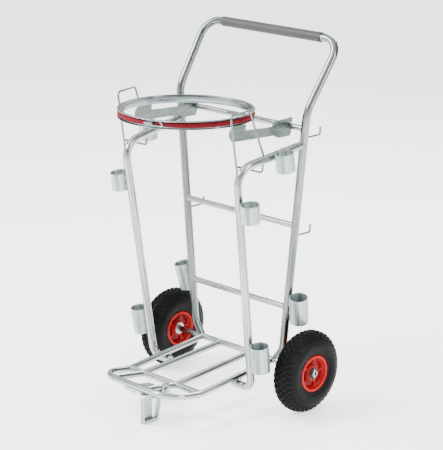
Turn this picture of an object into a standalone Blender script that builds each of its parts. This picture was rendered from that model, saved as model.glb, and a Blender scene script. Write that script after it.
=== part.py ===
"""Two-wheeled sack and tool trolley: a welded zinc-plated tube frame with a sack ring.

Units are metres, +Z is up. -Y is the front, where the sack platform and its support foot are,
and +Y is the rear, where the push handle is. In the names, right is the +X side and left is the
-X side, as seen from the front. The driving dimensions below are measured from the floor straight
below the middle of the wheel axle. The whole trolley hangs from one empty, which moves it forward
or back until the origin lies on the floor under the middle of its bounding box.
"""
import math

import bmesh
import bpy
from mathutils import Matrix, Vector

# ---------------------------------------------------------------- driving dimensions
GAP = 0.0003                    # air left between two pieces that touch
FINE_SIDES = 24                 # sides of the cylinders that cut a fishmouth or a hole

# tube stock
FRAME_TUBE = 0.025
PLATFORM_TUBE = 0.020
RUNG_ROD = 0.018
GUIDE_WIRE = 0.0065
HOOK_WIRE = 0.006
FRAME_SIDES = 12
WIRE_SIDES = 8

# wheels and axle
AXLE_HEIGHT = 0.130
HALF_TRACK = 0.300              # from the middle of the trolley to the middle of a wheel
AXLE_TUBE = 0.020
AXLE_BORE = 0.014
AXLE_END = 0.338                # how far the axle reaches to each side
TYRE_RADIUS = 0.130
TYRE_HALF_WIDTH = 0.0405
BEAD_RADIUS = 0.0580
RIM_LIP_RADIUS = 0.0572
RIM_HALF_WIDTH = 0.0376
RIM_WALL = 0.0040
HUB_RADIUS = 0.0235
HUB_BORE = 0.0180
SLEEVE_BORE_GAP = 0.0006
SLEEVE_HALF_LENGTH = 0.0300
WASHER_RADIUS = 0.0185
WASHER_THICKNESS = 0.0025
PIN_ROD = 0.0034
PIN_LENGTH = 0.030
WHEEL_SEGMENTS = 36

# back frame: one bent tube with the push handle across its top
FRAME_Y = 0.004
FRAME_FOOT = Vector((0.166, FRAME_Y, 0.132))
FRAME_LOW = Vector((0.1968, FRAME_Y, 0.173))
FRAME_KINK = Vector((0.2752, FRAME_Y, 0.9375))
FRAME_CORNER = Vector((0.2864, 0.1343, 1.1416))
FRAME_LOW_BEND = 0.060
FRAME_KINK_BEND = 0.110
FRAME_CORNER_BEND = 0.058
GRIP_HALF_LENGTH = 0.212
GRIP_WALL = 0.0028
RUNG_HEIGHTS = {"top_rung": 0.8864, "middle_rung": 0.5802, "lower_rung": 0.3141}

# front legs: each runs up from under the platform and turns back into an arm
LEG_TOE = Vector((0.143, -0.1570, 0.0900))
LEG_HEEL = Vector((0.2198, -0.1570, 0.0900))
LEG_KNEE = Vector((0.2446, -0.2590, 0.7960))
ARM_END = Vector((0.2662, -0.0090, 0.8385))
LEG_HEEL_BEND = 0.036
LEG_KNEE_BEND = 0.058

# platform: two rails that dip forward and a nose that is bent up again
RAIL_X = 0.158
PLATFORM_KINK = Vector((RAIL_X, -0.3190, 0.0950))
PLATFORM_FRONT = Vector((RAIL_X, -0.4400, 0.1120))
PLATFORM_KINK_BEND = 0.060
PLATFORM_CORNER_BEND = 0.070
CROSS_BAR_Y = -0.3140
LEFT_BAR_X = (-0.0735, -0.0960)     # at the axle, and at the cross bar
RIGHT_BAR_X = (0.0590, 0.0500)

# sack ring: a rolled channel that holds an elastic band in its groove
RING_CENTRE = Vector((0.0, -0.2300, 0.9430))    # at the top edge
RING_RADIUS = 0.2076
RING_HEIGHT = 0.0250
RING_DEPTH = 0.0080
RING_WALL = 0.0020
RING_SEGMENTS = 56
BAND_HEIGHT = 0.0148
BAND_TOP = 0.9385
BAND_BULGE = 0.0002                 # how far the band's back stays inside the ring's flanges
BAND_HOOK_ANGLE = math.radians(-71.0)
BAND_HOOK_HALF_ANGLE = math.radians(8.1)
BAND_HOOK_MARGIN = 0.0035           # from the clasp to the band's edges

# side plates that carry the ring on the top rung
PLATE_X = 0.2035
PLATE_THICKNESS = 0.0030
PLATE_FRONT = -0.2520
PLATE_STEP = -0.1830                # where the tall front lug ends
PLATE_LOW = 0.8660
PLATE_HIGH = 0.8940
PLATE_RISE = 0.0050                 # how much higher the arm lies at its front
PLATE_JAW_START = -0.0660
PLATE_JAW_END = 0.0160
PLATE_JAW_TOP = 0.9120
PLATE_JAW_BOTTOM = 0.8560
JAW_LEAD = 0.0220                   # slope from the arm's lower edge down to the jaw
JAW_NOSE = 0.0100                   # slope at the end of the jaw's lower half
JAW_STEP = 0.0040

# wire guides beside the ring; both have the same hand, so both rise from the +X side of a knee
# and come down on the -X side of an arm
GUIDE_FRONT_LEAN = 0.0110           # from the tube's middle to the wire, at its lower front end
GUIDE_REAR_LEAN = -0.0160
GUIDE_WEB_LEAN = -0.0170
GUIDE_LOW = (-0.2625, 0.7550)       # (y, z) of the front wire's lower end
GUIDE_TOP_FRONT = (-0.2915, 0.9633)
GUIDE_TOP_REAR = (-0.2050, 0.9665)
GUIDE_ARM = (-0.1420, 0.8240)
GUIDE_BOTTOM = (-0.1440, 0.7700)
GUIDE_WEB = (-0.2440, 0.8035)
GUIDE_END = (-0.2653, 0.8099)       # where the wire comes back to its own front leg
GUIDE_BENDS = (0.012, 0.012, 0.020, 0.008, 0.010)

# tool cups
CUP_RADIUS = 0.0290
CUP_WALL = 0.0020
CUP_FLOOR = 0.0025
CUP_SEGMENTS = 24
LOWER_FRONT_CUP = (0.1600, 0.2425)  # heights of the bottom and the top
UPPER_FRONT_CUP = (0.6430, 0.6980)
LOWER_CUP_TURN = (0.105, 0.000)     # how far behind its leg's outer side: right and left, radians
UPPER_CUP_TURN = (0.105, -0.105)
UPRIGHT_CUP_FOOT = Vector((0.2468, 0.0224, 0.2720))     # a tilted cup that points at the arm's cup
UPRIGHT_CUP_TOP = Vector((0.2590, 0.0038, 0.3570))
ARM_CUP_FOOT = (-0.1070, 0.7810)    # (y, z); this cup stands square to the arm
ARM_CUP_LENGTH = 0.057

# tool hooks behind the uprights
HOOK_HEIGHTS = {"upper": 0.8590, "lower": 0.5480}
HOOK_REACH = 0.0700
HOOK_RISE = 0.0190
HOOK_BEND = 0.008

# support foot and its bracket
FOOT_PIVOT = Vector((0.0, -0.4270, 0.0790))
FOOT_SIDE_X = (0.0340, 0.0500)
FOOT_WALL = 0.0025
FOOT_FRONT = -0.0195                # these five are measured from the pivot
FOOT_REAR_TOP = 0.0510
FOOT_REAR_BOTTOM = 0.0385
FOOT_TOP = 0.0130
FOOT_SHOULDER = 0.0070
SLOT_LOW = (0.0265, 0.0340, -0.0690)        # y of the two sides and z at the slot's bottom
SLOT_HIGH = (0.0255, 0.0415, -0.0100)
BRACKET_SHEET = 0.0030
BRACKET_LEFT = -0.0400
BRACKET_REAR = -0.3450
BRACKET_FRONT = -0.4460
BRACKET_LIP = 0.0105
WING_Y = (-0.3840, -0.3560)
WING_RISE = 0.0250
BRACKET_BOLT = Vector((-0.0250, -0.4190, 0.0))
BRACKET_BOLT_LENGTH = 0.0230
WING_SCREW = (-0.3665, 0.0975)      # (y, z)
EAR_FRONT = 0.0130                  # the ear's reach in front of the pivot
EAR_DROP = 0.0140
PIVOT_BOLT = 0.008
BOLT_HEAD = 0.013                   # across flats
BOLT_HEAD_HEIGHT = 0.0053
NUT_HEIGHT = 0.0065

# finishes: colour, roughness, metallic
ZINC = ("zinc_plate", (0.70, 0.72, 0.71), 0.30, 1.0)
ZINC_DARK = ("zinc_fastener", (0.52, 0.54, 0.55), 0.38, 1.0)
RED_RIM = ("red_plastic", (0.58, 0.015, 0.025), 0.38, 0.0)
TYRE = ("tyre_rubber", (0.018, 0.018, 0.018), 0.78, 0.0)
GRIP = ("grip_plastic", (0.13, 0.14, 0.14), 0.62, 0.0)
ELASTIC = ("elastic_red", (0.48, 0.010, 0.035), 0.68, 0.0)

AXIS_X = Vector((1, 0, 0))
AXIS_Y = Vector((0, 1, 0))
AXIS_Z = Vector((0, 0, 1))


# ---------------------------------------------------------------- scene helpers
def clear_scene():
    for scene_object in list(bpy.data.objects):
        bpy.data.objects.remove(scene_object, do_unlink=True)


def material(finish):
    name, colour, roughness, metallic = finish
    found = bpy.data.materials.get(name)
    if found:
        return found
    made = bpy.data.materials.new(name)
    made.use_nodes = True
    shader = made.node_tree.nodes["Principled BSDF"]
    shader.inputs["Base Color"].default_value = (*colour, 1.0)
    shader.inputs["Roughness"].default_value = roughness
    shader.inputs["Metallic"].default_value = metallic
    return made


def trolley_origin():
    """The empty that everything hangs from, set so that the model's box is centred on the origin."""
    found = bpy.data.objects.get("trolley_origin")
    if found:
        return found
    front = PLATFORM_FRONT.y - PLATFORM_TUBE / 2
    rear = FRAME_CORNER.y + FRAME_TUBE / 2 + GAP + GRIP_WALL
    return add_pivot("trolley_origin", Vector((0.0, -(front + rear) / 2, 0.0)))


def add_object(name, mesh_builder, finish, parent=None):
    """Turn a finished bmesh into a named object, smooth except at its sharp edges."""
    bmesh.ops.recalc_face_normals(mesh_builder, faces=mesh_builder.faces)
    mesh = bpy.data.meshes.new(name)
    mesh_builder.to_mesh(mesh)
    mesh_builder.free()
    mesh.shade_smooth()
    mesh.set_sharp_from_angle(angle=math.radians(40))
    mesh.materials.append(material(finish))
    made = bpy.data.objects.new(name, mesh)
    bpy.context.collection.objects.link(made)
    made.parent = parent or trolley_origin()
    return made


def add_pivot(name, location, parent=None):
    pivot = bpy.data.objects.new(name, None)
    pivot.location = location
    pivot.parent = parent
    bpy.context.collection.objects.link(pivot)
    return pivot


def cut(target, *cutters):
    """Subtract each cutter; the cutters stay in the file as hidden wire guides."""
    for cutter in cutters:
        modifier = target.modifiers.new("cut_" + cutter.name, "BOOLEAN")
        modifier.operation = "DIFFERENCE"
        modifier.object = cutter


def as_cutter(made):
    made.hide_render = True
    made.display_type = "WIRE"
    return made


def mirrored(point, side):
    return Vector((side * point.x, point.y, point.z))


# ---------------------------------------------------------------- shape helpers
def filleted(points, bends, step_angle=math.radians(18)):
    """The path through the points with a circular bend at each inner point."""
    path = [points[0]]
    for before, corner, after, bend in zip(points, points[1:], points[2:], bends):
        inward = (before - corner).normalized()
        outward = (after - corner).normalized()
        turn = math.pi - inward.angle(outward)
        centre = corner + (inward + outward).normalized() * (bend / math.cos(turn / 2))
        start = corner + inward * (bend * math.tan(turn / 2))
        axis = (-inward).cross(outward).normalized()
        steps = max(2, math.ceil(turn / step_angle))
        for index in range(steps + 1):
            swing = Matrix.Rotation(turn * index / steps, 3, axis)
            path.append(centre + swing @ (start - centre))
    path.append(points[-1])
    return path


def sweep(path, diameter, sides, bore=None):
    """A round bar, or a tube when a bore is given, along a path with carried-along sections."""
    tangents = []
    for index, point in enumerate(path):
        before = path[max(index - 1, 0)]
        after = path[min(index + 1, len(path) - 1)]
        tangents.append(((after - point).normalized() + (point - before).normalized()).normalized())
    across = tangents[0].orthogonal().normalized()
    builder = bmesh.new()
    rings = []
    inner_rings = []
    for index, (point, tangent) in enumerate(zip(path, tangents)):
        if index:
            across = tangents[index - 1].rotation_difference(tangent) @ across
        across = (across - tangent * across.dot(tangent)).normalized()
        rings.append(section(builder, point, tangent, across, diameter / 2, sides))
        if bore:
            inner_rings.append(section(builder, point, tangent, across, bore / 2, sides))
    bridge(builder, rings)
    if bore:
        bridge(builder, inner_rings)
        bridge(builder, [rings[0], inner_rings[0]])
        bridge(builder, [rings[-1], inner_rings[-1]])
    else:
        builder.faces.new(rings[0])
        builder.faces.new(rings[-1])
    return builder


def section(builder, centre, normal, across, radius, sides):
    second = normal.cross(across)
    ring = []
    for index in range(sides):
        angle = 2 * math.pi * index / sides
        offset = across * math.cos(angle) + second * math.sin(angle)
        ring.append(builder.verts.new(centre + offset * radius))
    return ring


def bridge(builder, rings):
    for lower, upper in zip(rings, rings[1:]):
        for index in range(len(lower)):
            following = (index + 1) % len(lower)
            builder.faces.new((lower[index], lower[following], upper[following], upper[index]))


def turned(profile, segments, axis=AXIS_X, centre=Vector()):
    """Spin a closed profile of (along axis, radius) pairs about the axis through the centre."""
    builder = bmesh.new()
    across = axis.orthogonal().normalized()
    if axis == AXIS_X or axis == AXIS_Y:
        across = AXIS_Z.copy()
    loop = [builder.verts.new(centre + axis * along + across * radius) for along, radius in profile]
    edges = [builder.edges.new((loop[index - 1], loop[index])) for index in range(len(loop))]
    bmesh.ops.spin(builder, geom=loop + edges, cent=centre, axis=axis, angle=2 * math.pi,
                   steps=segments, use_merge=True)
    return builder


def extruded(outline, start_x, end_x):
    """A flat plate: a (y, z) outline pushed along X."""
    builder = bmesh.new()
    first = [builder.verts.new((start_x, y, z)) for y, z in outline]
    face = builder.faces.new(first)
    moved = bmesh.ops.extrude_face_region(builder, geom=[face])["geom"]
    bmesh.ops.translate(builder, vec=(end_x - start_x, 0, 0),
                        verts=[item for item in moved if isinstance(item, bmesh.types.BMVert)])
    return builder


def arc_points(centre_y, centre_z, radius, start, end, steps):
    angles = [start + (end - start) * index / steps for index in range(steps + 1)]
    return [(centre_y + radius * math.cos(a), centre_z + radius * math.sin(a)) for a in angles]


def add_rod(builder, start, end, diameter, sides):
    along = end - start
    turn = AXIS_Z.rotation_difference(along.normalized()).to_matrix().to_4x4()
    bmesh.ops.create_cone(builder, cap_ends=True, segments=sides, radius1=diameter / 2,
                          radius2=diameter / 2, depth=along.length,
                          matrix=Matrix.Translation((start + end) / 2) @ turn)


def union_of(name, finish, parts, parent=None):
    """One closed body from several overlapping ones."""
    base = add_object(name, parts[0], finish, parent)
    for number, part in enumerate(parts[1:]):
        tool = as_cutter(add_object(f"{name}_join_{number}", part, finish, parent))
        modifier = base.modifiers.new(f"join_{number}", "BOOLEAN")
        modifier.operation = "UNION"
        modifier.object = tool
    return base


# ---------------------------------------------------------------- paths that several pieces need
def upright_x(height):
    share = (height - FRAME_LOW.z) / (FRAME_KINK.z - FRAME_LOW.z)
    return FRAME_LOW.x + share * (FRAME_KINK.x - FRAME_LOW.x)


def leg_point(height, side):
    share = (height - LEG_HEEL.z) / (LEG_KNEE.z - LEG_HEEL.z)
    return mirrored(LEG_HEEL.lerp(LEG_KNEE, share), side)


def back_frame_path():
    half = [FRAME_FOOT, FRAME_LOW, FRAME_KINK, FRAME_CORNER]
    points = half + [mirrored(point, -1) for point in reversed(half)]
    bends = [FRAME_LOW_BEND, FRAME_KINK_BEND, FRAME_CORNER_BEND]
    return filleted(points, bends + bends[::-1])


def leg_path(side):
    points = [mirrored(point, side) for point in (LEG_TOE, LEG_HEEL, LEG_KNEE, ARM_END)]
    return filleted(points, [LEG_HEEL_BEND, LEG_KNEE_BEND])


def platform_path():
    rear = Vector((RAIL_X, 0.0, AXLE_HEIGHT))
    half = [rear, PLATFORM_KINK, PLATFORM_FRONT]
    points = half + [mirrored(point, -1) for point in reversed(half)]
    bends = [PLATFORM_KINK_BEND, PLATFORM_CORNER_BEND]
    return filleted(points, bends + bends[::-1])


def platform_height(y):
    """Height of the platform's tube centres at a place along it."""
    rear = Vector((0, 0, AXLE_HEIGHT))
    if y > PLATFORM_KINK.y:
        share = y / PLATFORM_KINK.y
        return rear.z + share * (PLATFORM_KINK.z - rear.z)
    share = (y - PLATFORM_KINK.y) / (PLATFORM_FRONT.y - PLATFORM_KINK.y)
    return PLATFORM_KINK.z + share * (PLATFORM_FRONT.z - PLATFORM_KINK.z)


def on_axle(x):
    return Vector((x, 0.0, AXLE_HEIGHT))


# ---------------------------------------------------------------- frame
def build_cutters():
    """Slightly fat copies of the tubes that other tubes are shaped to fit against."""
    def fat(name, path, diameter):
        return as_cutter(add_object(name, sweep(path, diameter + 2 * GAP, FINE_SIDES), ZINC))

    upright = [FRAME_LOW, FRAME_KINK]
    other_upright = [mirrored(point, -1) for point in upright]
    return {
        "upright_right": fat("guide_upright_right", upright, FRAME_TUBE),
        "upright_left": fat("guide_upright_left", other_upright, FRAME_TUBE),
        "axle": fat("guide_axle", [on_axle(-FRAME_LOW.x), on_axle(FRAME_LOW.x)], AXLE_TUBE),
        "rail_right": fat("guide_rail_right", [on_axle(RAIL_X), PLATFORM_KINK], PLATFORM_TUBE),
        "rail_left": fat("guide_rail_left", [on_axle(-RAIL_X), mirrored(PLATFORM_KINK, -1)],
                         PLATFORM_TUBE),
        "nose": fat("guide_nose", platform_path(), PLATFORM_TUBE),
        "cross_bar": fat("guide_cross_bar", cross_bar_path(), PLATFORM_TUBE),
    }


def cross_bar_path():
    height = platform_height(CROSS_BAR_Y)
    return [Vector((side * RAIL_X, CROSS_BAR_Y, height)) for side in (-1, 1)]


def build_frame(guides):
    frame = add_object("back_frame", sweep(back_frame_path(), FRAME_TUBE, FRAME_SIDES), ZINC)
    cut(frame, guides["axle"], guides["rail_right"], guides["rail_left"])

    for name, height in RUNG_HEIGHTS.items():
        reach = upright_x(height)
        ends = [Vector((side * reach, FRAME_Y, height)) for side in (-1, 1)]
        rung = add_object(name, sweep(ends, RUNG_ROD, FRAME_SIDES), ZINC)
        cut(rung, guides["upright_right"], guides["upright_left"])

    for label, side in (("right", 1), ("left", -1)):
        leg = add_object(f"front_leg_{label}", sweep(leg_path(side), FRAME_TUBE, FRAME_SIDES), ZINC)
        cut(leg, guides[f"upright_{label}"], guides[f"rail_{label}"])


def build_grip():
    half = Vector((GRIP_HALF_LENGTH, FRAME_CORNER.y, FRAME_CORNER.z))
    bore = FRAME_TUBE + 2 * GAP
    add_object("handle_grip", sweep([mirrored(half, -1), half], bore + 2 * GRIP_WALL, 16, bore), GRIP)


def build_platform(guides):
    loop = add_object("platform_loop", sweep(platform_path(), PLATFORM_TUBE, FRAME_SIDES), ZINC)
    cut(loop, guides["axle"])

    cross_bar = add_object("platform_cross_bar",
                           sweep(cross_bar_path(), PLATFORM_TUBE, FRAME_SIDES), ZINC)
    cut(cross_bar, guides["nose"])

    cross_height = platform_height(CROSS_BAR_Y)
    for label, (axle_x, bar_x) in (("left", LEFT_BAR_X), ("right", RIGHT_BAR_X)):
        middle = Vector((bar_x, CROSS_BAR_Y, cross_height))
        front = Vector((bar_x, PLATFORM_FRONT.y, PLATFORM_FRONT.z))
        rear_bar = add_object(f"platform_bar_{label}",
                              sweep([on_axle(axle_x), middle], PLATFORM_TUBE, FRAME_SIDES), ZINC)
        cut(rear_bar, guides["axle"], guides["cross_bar"])
        nose_bar = add_object(f"nose_bar_{label}",
                              sweep([middle, front], PLATFORM_TUBE, FRAME_SIDES), ZINC)
        cut(nose_bar, guides["nose"], guides["cross_bar"])


# ---------------------------------------------------------------- axle and wheels
def build_axle():
    tube = add_object("axle_tube",
                      sweep([on_axle(-AXLE_END), on_axle(AXLE_END)], AXLE_TUBE, 16, AXLE_BORE), ZINC)
    holes = bmesh.new()
    from_hub = SLEEVE_HALF_LENGTH + WASHER_THICKNESS + 3 * GAP + PIN_ROD / 2
    for label, side in (("right", 1), ("left", -1)):
        for place, direction in (("outer", side), ("inner", -side)):
            middle = on_axle(side * HALF_TRACK + direction * from_hub)
            reach = AXIS_Z * (PIN_LENGTH / 2)
            pin = bmesh.new()
            add_rod(pin, middle - reach, middle + reach, PIN_ROD, WIRE_SIDES)
            add_object(f"axle_pin_{label}_{place}", pin, ZINC_DARK)
            add_rod(holes, middle - reach, middle + reach, PIN_ROD + 2 * GAP, WIRE_SIDES)
    cut(tube, as_cutter(add_object("guide_pin_holes", holes, ZINC_DARK)))

    washer_bore = AXLE_TUBE / 2 + GAP
    for label, side in (("right", 1), ("left", -1)):
        for place, direction in (("outer", side), ("inner", -side)):
            start = side * HALF_TRACK + direction * (SLEEVE_HALF_LENGTH + GAP)
            end = start + direction * WASHER_THICKNESS
            radius = HUB_BORE - 2 * GAP if place == "outer" else WASHER_RADIUS
            ring = [(start, washer_bore), (start, radius), (end, radius), (end, washer_bore)]
            add_object(f"axle_washer_{label}_{place}",
                       turned(ring, 20, AXIS_X, on_axle(0.0)), ZINC_DARK)


def tyre_profile():
    """Round-shouldered carcass whose sidewalls pull in to the beads."""
    half = [
        (0.0, TYRE_RADIUS),
        (0.0120, TYRE_RADIUS - 0.0012),
        (0.0215, TYRE_RADIUS - 0.0078),
        (0.0300, TYRE_RADIUS - 0.0172),
        (0.0365, TYRE_RADIUS - 0.0288),
        (0.0400, TYRE_RADIUS - 0.0400),
        (TYRE_HALF_WIDTH, TYRE_RADIUS - 0.0500),
        (0.0385, TYRE_RADIUS - 0.0600),
        (0.0290, BEAD_RADIUS + GAP),
    ]
    return half + [(-along, radius) for along, radius in reversed(half[1:])]


def rim_profile():
    """Section of the moulded rim: hub barrel, middle disc, outer barrel and two lips."""
    barrel = BEAD_RADIUS - RIM_WALL
    lip = RIM_HALF_WIDTH
    flare = RIM_WALL * 0.8
    return [
        (-SLEEVE_HALF_LENGTH, HUB_BORE), (SLEEVE_HALF_LENGTH, HUB_BORE),
        (SLEEVE_HALF_LENGTH, HUB_RADIUS), (RIM_WALL, HUB_RADIUS + 0.003),
        (RIM_WALL, barrel - 0.006), (lip - 0.012, barrel - 0.002),
        (lip, RIM_LIP_RADIUS - flare), (lip, RIM_LIP_RADIUS),
        (lip - 0.0100, BEAD_RADIUS), (-lip + 0.0100, BEAD_RADIUS),
        (-lip, RIM_LIP_RADIUS), (-lip, RIM_LIP_RADIUS - flare),
        (-lip + 0.012, barrel - 0.002), (-RIM_WALL, barrel - 0.006),
        (-RIM_WALL, HUB_RADIUS + 0.003), (-SLEEVE_HALF_LENGTH, HUB_RADIUS),
    ]


def build_wheel(label, side):
    pivot = add_pivot(f"wheel_axis_{label}", on_axle(side * HALF_TRACK), trolley_origin())
    add_object(f"tyre_{label}", turned(tyre_profile(), WHEEL_SEGMENTS), TYRE, pivot)
    add_object(f"rim_{label}", turned(rim_profile(), WHEEL_SEGMENTS), RED_RIM, pivot)
    inner = AXLE_TUBE / 2 + SLEEVE_BORE_GAP
    outer = HUB_BORE - GAP
    reach = SLEEVE_HALF_LENGTH
    sleeve = [(-reach, inner), (reach, inner), (reach, outer), (-reach, outer)]
    add_object(f"hub_sleeve_{label}", turned(sleeve, 20), ZINC_DARK, pivot)


# ---------------------------------------------------------------- sack ring
def build_ring():
    web = RING_RADIUS - RING_DEPTH
    low = -RING_HEIGHT
    profile = [
        (0.0, web - RING_WALL), (0.0, RING_RADIUS), (-RING_WALL, RING_RADIUS),
        (-RING_WALL, web), (low + RING_WALL, web), (low + RING_WALL, RING_RADIUS),
        (low, RING_RADIUS), (low, web - RING_WALL),
    ]
    add_object("sack_ring", turned(profile, RING_SEGMENTS, AXIS_Z, RING_CENTRE), ZINC)

    inner = web + GAP
    outer = RING_RADIUS - BAND_BULGE
    round_off = (outer - inner) / 3
    top = BAND_TOP - RING_CENTRE.z
    bottom = top - BAND_HEIGHT
    band = [
        (top, inner), (top, outer - round_off), (top - round_off, outer),
        (bottom + round_off, outer), (bottom, outer - round_off), (bottom, inner),
    ]
    elastic = add_object("elastic_band", turned(band, RING_SEGMENTS, AXIS_Z, RING_CENTRE), ELASTIC)
    hook_gap = as_cutter(add_object("guide_band_gap", band_hook_body(GAP), ZINC))
    cut(elastic, hook_gap)
    add_object("band_hook", band_hook_body(0.0), ZINC_DARK)


def band_hook_body(extra):
    """A flat clasp that follows the ring where the two ends of the elastic meet."""
    half_angle = BAND_HOOK_HALF_ANGLE
    inner = RING_RADIUS - RING_DEPTH + 2 * GAP - extra
    outer = RING_RADIUS + 0.0016 + extra
    top = BAND_TOP - BAND_HOOK_MARGIN + extra
    bottom = BAND_TOP - BAND_HEIGHT + BAND_HOOK_MARGIN - extra
    builder = bmesh.new()
    steps = 4
    rings = []
    for index in range(steps + 1):
        angle = BAND_HOOK_ANGLE - half_angle + 2 * half_angle * index / steps
        outward = Vector((math.cos(angle), math.sin(angle), 0.0))
        base = Vector((RING_CENTRE.x, RING_CENTRE.y, 0.0))
        corners = [(inner, bottom), (outer, bottom), (outer, top), (inner, top)]
        rings.append([builder.verts.new(base + outward * radius + AXIS_Z * height)
                      for radius, height in corners])
    bridge(builder, rings)
    builder.faces.new(rings[0])
    builder.faces.new(rings[-1])
    return builder


def build_ring_plates():
    """An arm with a lug that carries the ring at its front and an open jaw round the top rung."""
    rung = RUNG_HEIGHTS["top_rung"]
    slot = RUNG_ROD / 2 + GAP
    lug_top = RING_CENTRE.z - RING_HEIGHT - GAP
    front_low = PLATE_LOW + PLATE_RISE
    front_radius = (lug_top - front_low) / 2
    front_centre = PLATE_FRONT + front_radius
    outline = [(front_centre, lug_top)]
    outline += arc_points(front_centre, front_low + front_radius, front_radius,
                          math.radians(110), math.radians(270), 8)
    outline += [
        (PLATE_JAW_START, PLATE_LOW),
        (PLATE_JAW_START + JAW_LEAD, PLATE_JAW_BOTTOM),
        (PLATE_JAW_END - JAW_NOSE, PLATE_JAW_BOTTOM),
        (PLATE_JAW_END - JAW_STEP, rung - slot - 2 * JAW_STEP),
        (PLATE_JAW_END - JAW_STEP, rung - slot),
    ]
    outline += arc_points(FRAME_Y, rung, slot, math.radians(270), math.radians(90), 8)
    outline += [
        (PLATE_JAW_END, rung + slot),
        (PLATE_JAW_END, PLATE_JAW_TOP),
        (PLATE_JAW_START, PLATE_JAW_TOP - JAW_STEP),
        (PLATE_JAW_START - JAW_STEP, PLATE_HIGH),
        (PLATE_STEP, PLATE_HIGH + PLATE_RISE),
        (PLATE_STEP, lug_top),
    ]
    for label, side in (("right", 1), ("left", -1)):
        start = side * PLATE_X
        plate = extruded(outline, start, start + side * PLATE_THICKNESS)
        add_object(f"ring_plate_{label}", plate, ZINC)


def arm_x(y):
    """How far out the middle of an arm is, at a place along it."""
    share = (y - LEG_KNEE.y) / (ARM_END.y - LEG_KNEE.y)
    return LEG_KNEE.x + max(share, 0.0) * (ARM_END.x - LEG_KNEE.x)


def build_guides():
    """A wire that rises from a knee, crosses over and hooks back under the arm to its own start."""
    leans = (
        (GUIDE_LOW, GUIDE_FRONT_LEAN),
        (GUIDE_TOP_FRONT, GUIDE_FRONT_LEAN / 2),
        (GUIDE_TOP_REAR, GUIDE_REAR_LEAN / 2),
        (GUIDE_ARM, GUIDE_REAR_LEAN),
        (GUIDE_BOTTOM, GUIDE_REAR_LEAN),
        (GUIDE_WEB, GUIDE_WEB_LEAN),
        (GUIDE_END, GUIDE_FRONT_LEAN * 0.7),
    )
    for label, side in (("right", 1), ("left", -1)):
        points = [Vector((side * arm_x(y) + lean, y, z)) for (y, z), lean in leans]
        path = filleted(points, GUIDE_BENDS, math.radians(24))
        add_object(f"side_guide_{label}", sweep(path, GUIDE_WIRE, WIRE_SIDES), ZINC)


# ---------------------------------------------------------------- tool holders
def cup(name, foot, top, floor):
    """A short pipe between two points; a lower cup has a floor and an upper one is open."""
    along = (top - foot).normalized()
    length = (top - foot).length
    inner = CUP_RADIUS - CUP_WALL
    if floor:
        profile = [(0.0, 0.0), (0.0, CUP_RADIUS), (length, CUP_RADIUS), (length, inner),
                   (CUP_FLOOR, inner), (CUP_FLOOR, 0.0)]
        builder = bmesh.new()
        verts = [builder.verts.new((radius, 0.0, height)) for height, radius in profile]
        edges = [builder.edges.new(pair) for pair in zip(verts, verts[1:])]
        bmesh.ops.spin(builder, geom=verts + edges, cent=(0, 0, 0), axis=AXIS_Z,
                       angle=2 * math.pi, steps=CUP_SEGMENTS, use_merge=True)
        bmesh.ops.remove_doubles(builder, verts=builder.verts, dist=GAP / 10)
    else:
        profile = [(0.0, inner), (0.0, CUP_RADIUS), (length, CUP_RADIUS), (length, inner)]
        builder = turned(profile, CUP_SEGMENTS, AXIS_Z)
    made = add_object(name, builder, ZINC)
    made.location = foot
    made.rotation_mode = "QUATERNION"
    made.rotation_quaternion = AXIS_Z.rotation_difference(along)


def build_cups():
    """Four cups on each side: two on the leg, one on the upright and one beside the arm."""
    stand_off = CUP_RADIUS + FRAME_TUBE / 2 + GAP
    along_arm = (ARM_END - LEG_KNEE).normalized()
    square_to_arm = Vector((0.0, -along_arm.z, along_arm.y)).normalized()
    for index, (label, side) in enumerate((("right", 1), ("left", -1))):
        for place, (low, high), turns, floor in (
            ("lower_front", LOWER_FRONT_CUP, LOWER_CUP_TURN, True),
            ("upper_front", UPPER_FRONT_CUP, UPPER_CUP_TURN, False),
        ):
            turn = turns[index]
            offset = Vector((side * math.cos(turn), math.sin(turn), 0.0)) * stand_off
            cup(f"cup_{place}_{label}", leg_point(low, side) + offset,
                leg_point(high, side) + offset, floor)
        cup(f"cup_lower_rear_{label}", mirrored(UPRIGHT_CUP_FOOT, side),
            mirrored(UPRIGHT_CUP_TOP, side), True)
        y, z = ARM_CUP_FOOT
        foot = Vector((side * (arm_x(y) + stand_off + GAP), y, z))
        cup(f"cup_upper_rear_{label}", foot, foot + square_to_arm * ARM_CUP_LENGTH, False)


def build_hooks():
    for level, height in HOOK_HEIGHTS.items():
        for label, side in (("right", 1), ("left", -1)):
            x = side * upright_x(height)
            start_y = FRAME_Y + FRAME_TUBE / 2 + GAP
            end_y = FRAME_Y + HOOK_REACH
            points = [
                Vector((x, start_y, height)),
                Vector((x, end_y, height)),
                Vector((x, end_y, height + HOOK_RISE + HOOK_WIRE)),
            ]
            path = filleted(points, [HOOK_BEND], math.radians(30))
            add_object(f"tool_hook_{level}_{label}", sweep(path, HOOK_WIRE, WIRE_SIDES), ZINC)


# ---------------------------------------------------------------- support foot
def foot_outline():
    """Side view of the stirrup, relative to its pivot."""
    return [
        (FOOT_FRONT, -FOOT_PIVOT.z),
        (FOOT_REAR_BOTTOM, -FOOT_PIVOT.z),
        (FOOT_REAR_TOP, -FOOT_TOP),
        (FOOT_REAR_TOP, FOOT_SHOULDER),
        (FOOT_FRONT + 2 * FOOT_TOP, FOOT_TOP),
        (FOOT_FRONT + FOOT_SHOULDER, FOOT_TOP),
        (FOOT_FRONT, FOOT_TOP - FOOT_SHOULDER),
    ]


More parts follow.
